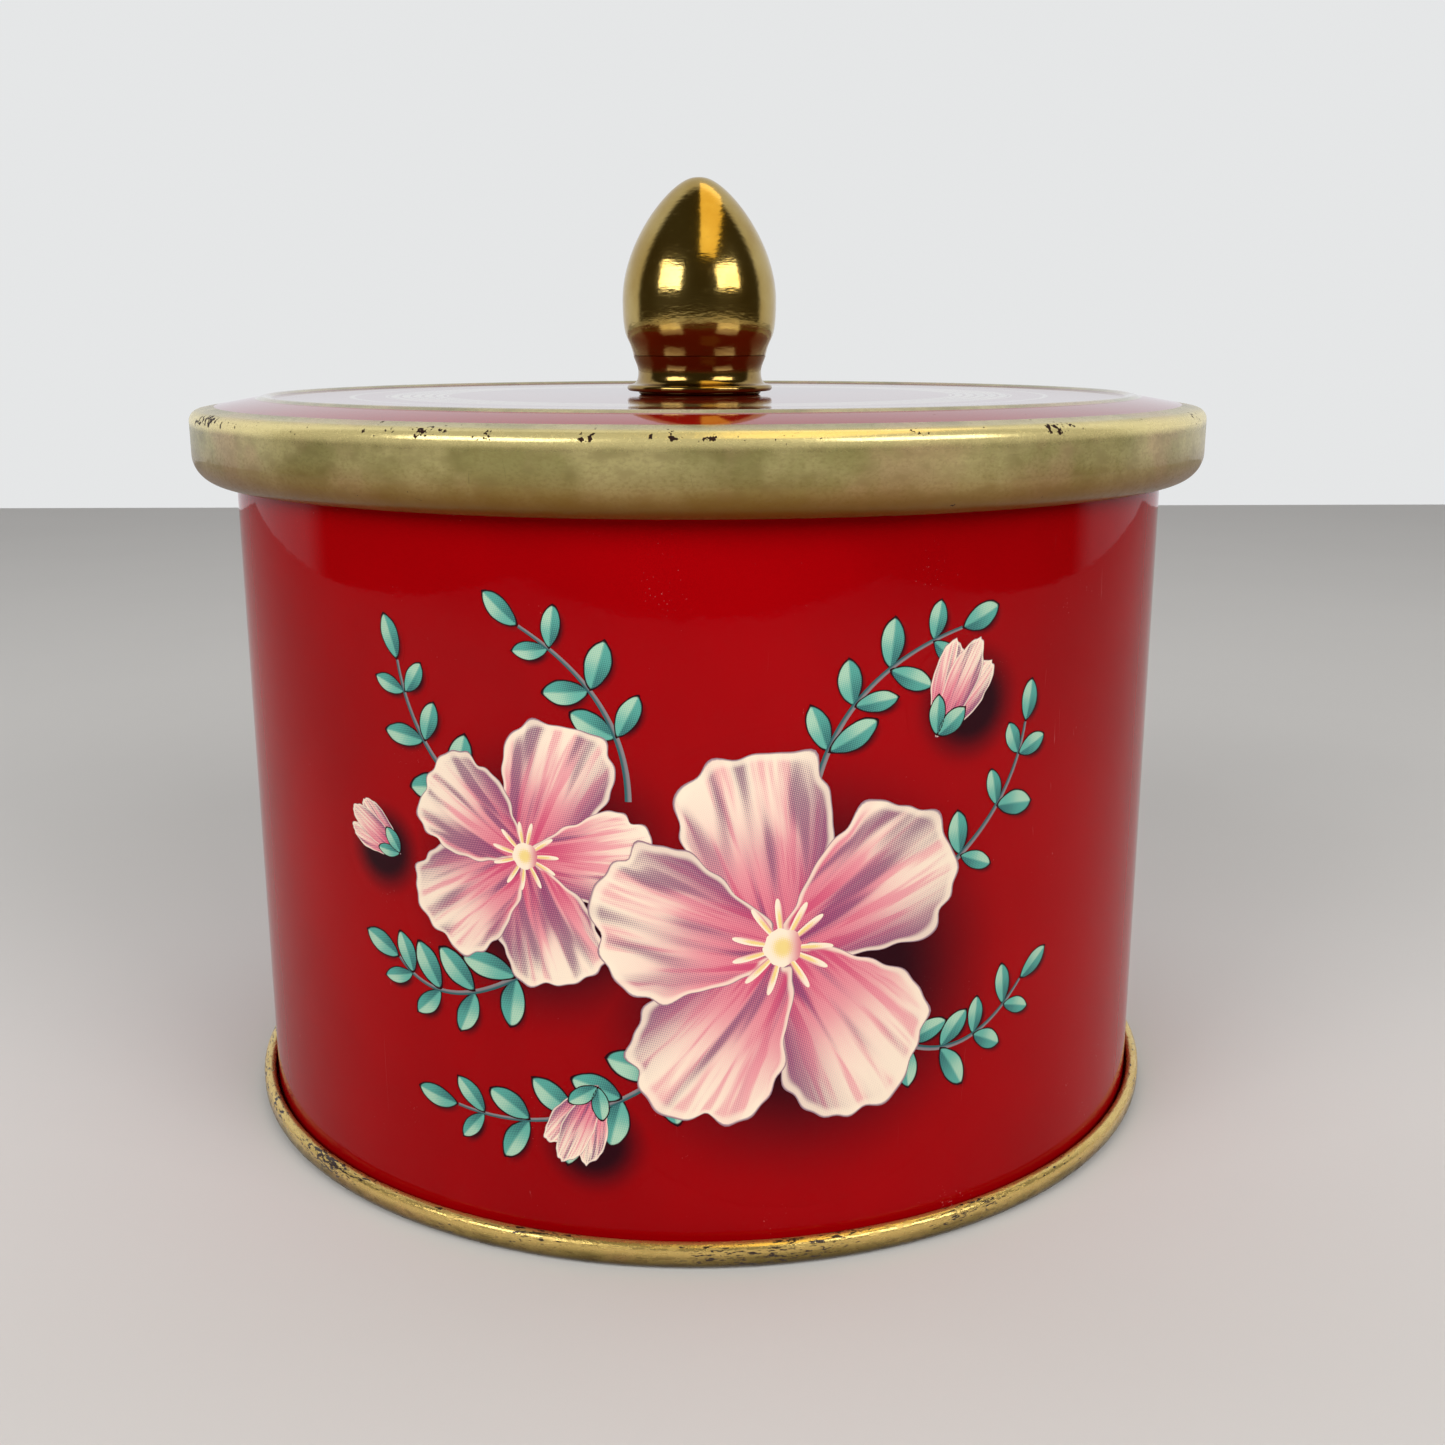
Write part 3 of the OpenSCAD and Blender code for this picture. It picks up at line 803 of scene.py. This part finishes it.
def stemPatch(start, middle, end, width, level):
    deselectAll()
    bpy.ops.mesh.primitive_grid_add(x_subdivisions=2, y_subdivisions=30, size=2)
    patch = bpy.context.object
    flat = np.empty(len(patch.data.vertices) * 3)
    patch.data.vertices.foreach_get("co", flat)
    x, y = flat.reshape(-1, 3)[:, :2].T
    t = (y + 1) / 2
    a, b, c = (np.array(p)[:, None] for p in (start, middle, end))
    spot = (1 - t)**2 * a + 2 * t * (1 - t) * b + t**2 * c
    way = 2 * (1 - t) * (b - a) + 2 * t * (c - b)
    way /= np.linalg.norm(way, axis=0)
    w = x * width / 2 * (1 - 0.5 * t)
    return layOn(patch, spot[0] - way[1] * w, spot[1] + way[0] * w, ((x + 1) / 2, t), level, 0.5)


def joinPatches(name, patches, material):
    activate(patches[0])
    for patch in patches:
        patch.select_set(True)
    bpy.ops.object.join()
    piece = bpy.context.object
    piece.name = name
    piece.data.name = name
    bpy.ops.object.modifier_add(type="SOLIDIFY")
    piece.modifiers[0].thickness = ink["thick"] * mm
    piece.modifiers[0].offset = -1
    bpy.ops.object.modifier_apply(modifier=piece.modifiers[0].name)
    bpy.ops.object.shade_smooth_by_angle(angle=math.radians(40))
    piece.data.materials.clear()
    piece.data.materials.append(material)
    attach(piece, "tin")
    return piece


# Halftone dots of a printed tint: larger as Tint rises
halftone, gIn, gOut = shaderGroup("halftone", [("Place", "Vector"), ("Pitch", "Float"),
                                               ("Tint", "Float")], [("Dots", "Float")])
turnedGrid = addNode(halftone, "VectorRotate", rotation_type="Z_AXIS")
turnedGrid.inputs["Angle"].default_value = math.radians(33)
feed(halftone, turnedGrid.inputs["Vector"], gIn["Place"])
grid = addNode(halftone, "SeparateXYZ")
feed(halftone, grid.inputs[0], turnedGrid.outputs[0])
rate = calc(halftone, "DIVIDE", 2 * math.pi, gIn["Pitch"])
waves = [calc(halftone, "SINE", calc(halftone, "MULTIPLY", grid.outputs[k], rate))
         for k in (0, 1)]
bump = calc(halftone, "MULTIPLY_ADD", calc(halftone, "MULTIPLY", *waves), 0.5, 0.5)
feed(halftone, gOut["Dots"], mapRange(
    halftone, calc(halftone, "ADD", bump, gIn["Tint"]), 0.85, 1.15))

paper = dict(cream=(0.86, 0.72, 0.57, 1), blush=(0.74, 0.27, 0.31, 1), rose=(0.56, 0.065, 0.15, 1),
             mauve=(0.16, 0.045, 0.13, 1), yellow=(0.80, 0.60, 0.22, 1),
             maroon=(0.02, 0.001, 0.004, 1), teal=(0.095, 0.36, 0.30, 1),
             pale=(0.42, 0.60, 0.44, 1), deep=(0.025, 0.10, 0.11, 1), stem=(0.22, 0.19, 0.20, 1))
screenPitch = 0.3

# Soft shadows to the lower right of the two blooms and the three buds: place and reach
softSpots = (((-17.5, 45.5), 20), ((11.5, 35.5), 29), ((-12.8, 15.0), 7.6), ((31.3, 65.3), 8.2),
             ((-39.6, 47.2), 6.6))


def inkMaterial(name):
    # a varnished ink, with the patch's own place, its tone and the wall's place
    material, tree, shader, place = newMaterial(name, Roughness=0.3, **varnish)
    own = addNode(tree, "UVMap", uv_map="ownPlace").outputs[0]
    wallPlace = addNode(tree, "UVMap", uv_map="wallPlace").outputs[0]
    tone = addNode(tree, "Attribute", attribute_name="tone").outputs["Fac"]
    uv = addNode(tree, "SeparateXYZ")
    feed(tree, uv.inputs[0], own)
    peel = useGroup(tree, orangePeel, Place=place, Size=1.6)["Height"]
    setBump(tree, shader, peel, 0.004)
    return material, tree, shader, uv.outputs[0], uv.outputs[1], tone, wallPlace


def discReach(tree, u, v):
    offs = [calc(tree, "MULTIPLY_ADD", value, 2.0, -1.0) for value in (u, v)]
    squares = [calc(tree, "MULTIPLY", off, off) for off in offs]
    return calc(tree, "SQRT", calc(tree, "ADD", *squares))


def screened(tree, tint, wallPlace, low, high):
    # a tint from low to high colour, half smooth and half in dots
    dots = useGroup(tree, halftone, Place=wallPlace, Pitch=screenPitch, Tint=tint)["Dots"]
    factor = calc(tree, "MULTIPLY_ADD", calc(tree, "SUBTRACT", dots, tint), 0.6, tint)
    return mixColour(tree, factor, low, high)


def lengthwise(tree, places, rates, detail):
    # noise drawn out along a petal, other in each petal by its tone
    drawn = addNode(tree, "CombineXYZ")
    for socket, value, rate in zip(drawn.inputs, places, rates):
        feed(tree, socket, calc(tree, "MULTIPLY", value, rate))
    return noise(tree, drawn.outputs[0], 1.0, detail)


def petalInk():
    material, tree, shader, u, v, tone, wallPlace = inkMaterial("petalInk")
    reach = discReach(tree, u, v)
    veins = mapRange(tree, lengthwise(tree, (u, v, tone), (13.0, 1.3, 40.0), 2.0), 0.42, 0.62)
    folds = mapRange(tree, lengthwise(tree, (u, v, tone), (7.0, 1.1, 90.0), 1.0), 0.48, 0.68)
    tipward = mapRange(tree, v, 0.15, 0.95)
    colour = screened(tree, tipward, wallPlace, paper["blush"], paper["cream"])
    rosy = calc(tree, "MULTIPLY", veins, mapRange(tree, v, 0.15, 1.0, 1.0, 0.6))
    colour = screened(tree, rosy, wallPlace, colour, paper["blush"])
    heart = mapRange(tree, v, 0.72, 0.1)
    streaked = calc(tree, "MULTIPLY", heart, mapRange(tree, veins, 0, 1, 0.55, 1.0))
    colour = screened(tree, streaked, wallPlace, colour, paper["rose"])
    side = mapRange(tree, u, 0.6, 1.0, 0.0, 0.8)
    shade = calc(tree, "MAXIMUM", calc(tree, "MULTIPLY", folds, 0.7), side)
    colour = screened(tree, shade, wallPlace, colour, paper["mauve"])
    rim = mapRange(tree, reach, 0.88, 0.95)
    colour = mixColour(tree, calc(tree, "MULTIPLY", rim, 0.75), colour, paper["cream"])
    outline = mapRange(tree, reach, 0.975, 0.995)
    colour = mixColour(tree, calc(tree, "MULTIPLY", outline, 0.8), colour, paper["mauve"])
    feed(tree, shader.inputs["Base Color"], colour)
    return material


def leafInk():
    material, tree, shader, u, v, tone, wallPlace = inkMaterial("leafInk")
    side = mapRange(tree, u, 0.45, 0.6)
    light = calc(tree, "MULTIPLY", calc(tree, "SUBTRACT", 1.0, side),
                 mapRange(tree, v, 0.2, 0.75, 0.1, 0.75))
    colour = screened(tree, light, wallPlace, paper["teal"], paper["pale"])
    dark = calc(tree, "MULTIPLY", side, mapRange(tree, v, 0.9, 0.1, 0.15, 0.75))
    colour = screened(tree, dark, wallPlace, colour, paper["deep"])
    outline = mapRange(tree, discReach(tree, u, v), 0.84, 0.92)
    colour = mixColour(tree, outline, colour, paper["maroon"])
    feed(tree, shader.inputs["Base Color"], colour)
    return material


def centreInk():
    material, tree, shader, u, v, tone, wallPlace = inkMaterial("centreInk")
    reach = discReach(tree, u, v)
    colour = screened(tree, mapRange(tree, reach, 0.2, 0.8), wallPlace, paper["yellow"],
                      paper["cream"])
    colour = mixColour(tree, mapRange(tree, u, 0.55, 1.0, 0.0, 0.8), colour, paper["rose"])
    feed(tree, shader.inputs["Base Color"], colour)
    return material


def stemInk():
    material, tree, shader, u, v, tone, wallPlace = inkMaterial("stemInk")
    colour = mixColour(tree, mapRange(tree, u, 0.3, 0.8), paper["stem"], paper["deep"])
    feed(tree, shader.inputs["Base Color"], colour)
    return material


def shadowInk():
    # the wall's own red, darkened under the blooms and towards the middle of each small patch
    material, tree, shader, u, v, tone, wallPlace = inkMaterial("shadowInk")
    place = addNode(tree, "VectorMath", operation="SCALE")
    feed(tree, place.inputs[0], addNode(tree, "TexCoord").outputs["Object"])
    place.inputs["Scale"].default_value = 1 / mm
    colour, worn = redColour(tree, place.outputs[0])
    inner = mapRange(tree, discReach(tree, u, v), 0.99, 0.3)
    amount = calc(tree, "MULTIPLY", inner, tone)
    for centre, reach in softSpots:
        off = addNode(tree, "VectorMath", operation="DISTANCE")
        feed(tree, off.inputs[0], wallPlace)
        off.inputs[1].default_value = (*centre, 0)
        under = mapRange(tree, off.outputs["Value"], reach * 0.98, reach * 0.38)
        amount = calc(tree, "MAXIMUM", amount, under)
    feed(tree, shader.inputs["Base Color"], mixColour(tree, amount, colour, paper["maroon"]))
    feed(tree, shader.inputs["Roughness"], mapRange(tree, worn, 0, 0.4, 0.22, 0.5))
    return material


petals, leaves, stems, centres, shadows = [], [], [], [], []


def bloom(place, radius, level, spin, count=5, ruffle=0.05):
    for i in range(count):
        heading = spin + 360 / count * i + rng.uniform(-6, 6)
        length = radius * rng.uniform(0.94, 1.06)
        width = length * rng.uniform(0.98, 1.12)
        bend = rng.uniform(-0.08, 0.08)
        petals.append(petalPatch(place, heading, length, width, level + i * 0.9, ruffle, 0.26,
                                 bend))
    centres.append(petalPatch((place[0], place[1] - radius * 0.1), 0, radius * 0.2, radius * 0.2,
                              level + count + 0.5, 0.04, 0.9, cells=12))
    for i in range(11):
        heading = spin + 360 / 11 * i
        centres.append(petalPatch(place, heading + rng.uniform(-8, 8), radius * 0.26,
                                  radius * 0.05, level + count, 0.0, 0.2, cells=6))


def bud(place, heading, length, level):
    for lean, grow in ((-16, 0.92), (15, 0.9), (0, 1.0)):
        petals.append(petalPatch(place, heading + lean, length * grow, length * 0.42,
                                 level + 0.9 * grow, 0.03, 0.55, 0.0, 0.16, cells=20))
    for lean in (-30, 30):
        leaf(place, heading + lean, length * 0.4, level + 2)


def leaf(place, heading, length, level):
    width = length * rng.uniform(0.5, 0.62)
    bend = rng.uniform(-0.1, 0.1)
    leaves.append(petalPatch(place, heading, length, width, level, 0.015, 0.75, bend, 0.3,
                             cells=12))
    shadows.append(petalPatch((place[0] + 0.5, place[1] - 0.55), heading, length * 1.04,
                              width * 1.15, 3.6 + rng.random() * 0.6, 0.0, 0.75, bend, 0.2,
                              cells=10, tone=1.0))


def spray(start, middle, end, count, size, level):
    # an arching stem with leaves in pairs and one at its tip
    stems.append(stemPatch(start, middle, end, 0.75, level))
    for i in range(count):
        t = (i + 1.2) / (count + 0.8)
        spot = [(1 - t)**2 * a + 2 * t * (1 - t) * b + t**2 * c
                for a, b, c in zip(start, middle, end)]
        way = [2 * (1 - t) * (b - a) + 2 * t * (c - b) for a, b, c in zip(start, middle, end)]
        heading = math.degrees(math.atan2(way[0], way[1]))
        for side in (-1, 1):
            grown = size * (1 - 0.3 * t) * rng.uniform(0.85, 1.1)
            leaf(spot, heading + side * rng.uniform(42, 62), grown, level + 0.5 + 0.5 * side)
    leaf(end, heading + rng.uniform(-10, 10), size * 0.8, level + 1.2)


spray((-14, 40), (-30, 26), (-38, 34), 4, 7.5, 5.0)
spray((2, 30), (-12, 14), (-30, 17), 5, 7.5, 5.0)
spray((-22, 52), (-34, 58), (-36, 70), 3, 7.0, 5.0)
spray((-8, 56), (-8, 68), (-20, 75), 3, 7.0, 5.0)
spray((12, 54), (14, 70), (30, 74), 4, 7.0, 5.0)
spray((22, 42), (38, 50), (40, 62), 3, 6.5, 5.0)
spray((18, 30), (30, 18), (41, 30), 4, 7.0, 5.0)
for index, (centre, reach) in enumerate(softSpots):
    shadows.append(petalPatch((centre[0], centre[1] - reach), 0, 2 * reach, 2 * reach,
                              0.9 + 0.6 * index, 0.0, 1.0, cells=max(14, int(2.4 * reach)),
                              tone=0.0))
bud((-12, 22), 205, 11, 9.0)
bud((27, 62), 28, 12, 9.0)
bud((-37, 47), 300, 9, 9.0)
bloom((-20, 49), 15.5, 9.0, 20, ruffle=0.045)
bloom((9, 39), 22.5, 16.0, -8, ruffle=0.05)

joinPatches("printedShadows", shadows, shadowInk())
joinPatches("printedStems", stems, stemInk())
joinPatches("printedLeaves", leaves, leafInk())
joinPatches("printedPetals", petals, petalInk())
joinPatches("printedCentres", centres, centreInk())
print("printed spray done")

# Camera
shot = dict(away=229.36, height=105.01, pitch=13.57, yaw=0.789, roll=-0.067, lens=39.599)
bpy.ops.object.camera_add()
camera = bpy.context.object
camera.matrix_world = (Matrix.Translation((0, -shot["away"] * mm, shot["height"] * mm))
                       @ Matrix.Rotation(math.radians(-shot["yaw"]), 4, "Z")
                       @ Matrix.Rotation(math.radians(90 - shot["pitch"]), 4, "X")
                       @ Matrix.Rotation(math.radians(shot["roll"]), 4, "Z"))
camera.data.lens = shot["lens"]
camera.data.sensor_width = 36
camera.data.clip_start = 0.005
bpy.context.scene.camera = camera

# Floor, room and light
# the floor is in metres; in front of the tin its colour is darkened as painted shade, so that it
# reflects darker in the tin, from the first y of dimTo to the second
stage = dict(floor=1.8, backEdge=0.8, dimTo=(-0.17, -0.7), dim=0.68,
             floorColour=(0.68, 0.67, 0.66, 1))


def stagePlane(name, size, place, turn, colour):
    deselectAll()
    bpy.ops.mesh.primitive_plane_add(size=size, location=place, rotation=turn)
    plane = bpy.context.object
    plane.name = name
    material, tree, shader, where = newMaterial(name, Roughness=0.9)
    shade = useGroup(tree, cloud, Place=where, Scale=0.01, Low=0.3, High=0.7)["Mask"]
    darker = tuple(c * 0.985 for c in colour[:3]) + (1,)
    dim = tuple(c * stage["dim"] for c in colour[:3]) + (1,)
    across = addNode(tree, "SeparateXYZ")
    feed(tree, across.inputs[0], where)
    # painted shade: the floor's colour falls to dim towards the camera
    near = mapRange(tree, across.outputs[1], *((y - place[1]) / mm for y in stage["dimTo"]))
    feed(tree, shader.inputs["Base Color"],
         mixColour(tree, near, mixColour(tree, shade, darker, colour), dim))
    plane.data.materials.append(material)
    return plane


stagePlane("floor", stage["floor"], (0, stage["backEdge"] - stage["floor"] / 2, -0.00002),
           (0, 0, 0), stage["floorColour"])

studio = dict(seen=(0.785, 0.795, 0.80, 1), room=(0.06, 0.05, 0.025, 1),
              around=(0.80, 0.81, 0.84, 1), strength=1.0)
world = bpy.data.worlds.new("studio")
bpy.context.scene.world = world
world.use_nodes = True
sky = world.node_tree
direction = addNode(sky, "SeparateXYZ")
feed(sky, direction.inputs[0], addNode(sky, "TexCoord").outputs["Generated"])
# the room is dim on the camera's side and white behind the tin
towardRoom = mapRange(sky, direction.outputs[1], 0.3, 0.12)
roomColour = mixColour(sky, towardRoom, studio["around"], studio["room"])
rays = addNode(sky, "LightPath")
feed(sky, sky.nodes["Background"].inputs["Color"],
     mixColour(sky, rays.outputs["Is Camera Ray"], roomColour, studio["seen"]))
sky.nodes["Background"].inputs["Strength"].default_value = studio["strength"]


def softbox(name, place, aim, size, power, colour=(1, 1, 1), mirrored=True, lights=True):
    bpy.ops.object.light_add(type="AREA", location=place)
    light = bpy.context.object
    light.name = name
    light.data.shape = "RECTANGLE"
    light.data.size = size[0]
    light.data.size_y = size[1]
    light.data.energy = power
    light.data.color = colour
    light.visible_glossy = mirrored
    light.visible_diffuse = lights
    light.rotation_euler = (Vector(aim) - Vector(place)).to_track_quat("-Z", "Y").to_euler()
    return light


target = (0, 0, 0.1)
softbox("windowLeft", (-0.59, -0.57, 0.45), target, (0.54, 0.32), 2.7, (1, 0.98, 0.94))
softbox("windowRight", (0.59, -0.57, 0.45), target, (0.54, 0.32), 2.7, (1, 0.98, 0.94))
softbox("lampTop", (0.28, -0.275, 1.0), (0.28, -0.275, 0), (0.5, 1.4), 4.0, (1, 0.72, 0.2),
        lights=False)
softbox("keyLeft", (-0.6, -0.9, 0.7), target, (0.7, 0.7), 5.5, mirrored=False)
softbox("keyRight", (0.6, -0.9, 0.7), target, (0.7, 0.7), 5.5, mirrored=False)
bpy.context.scene.view_settings.view_transform = "Standard"
print("camera and lights done")
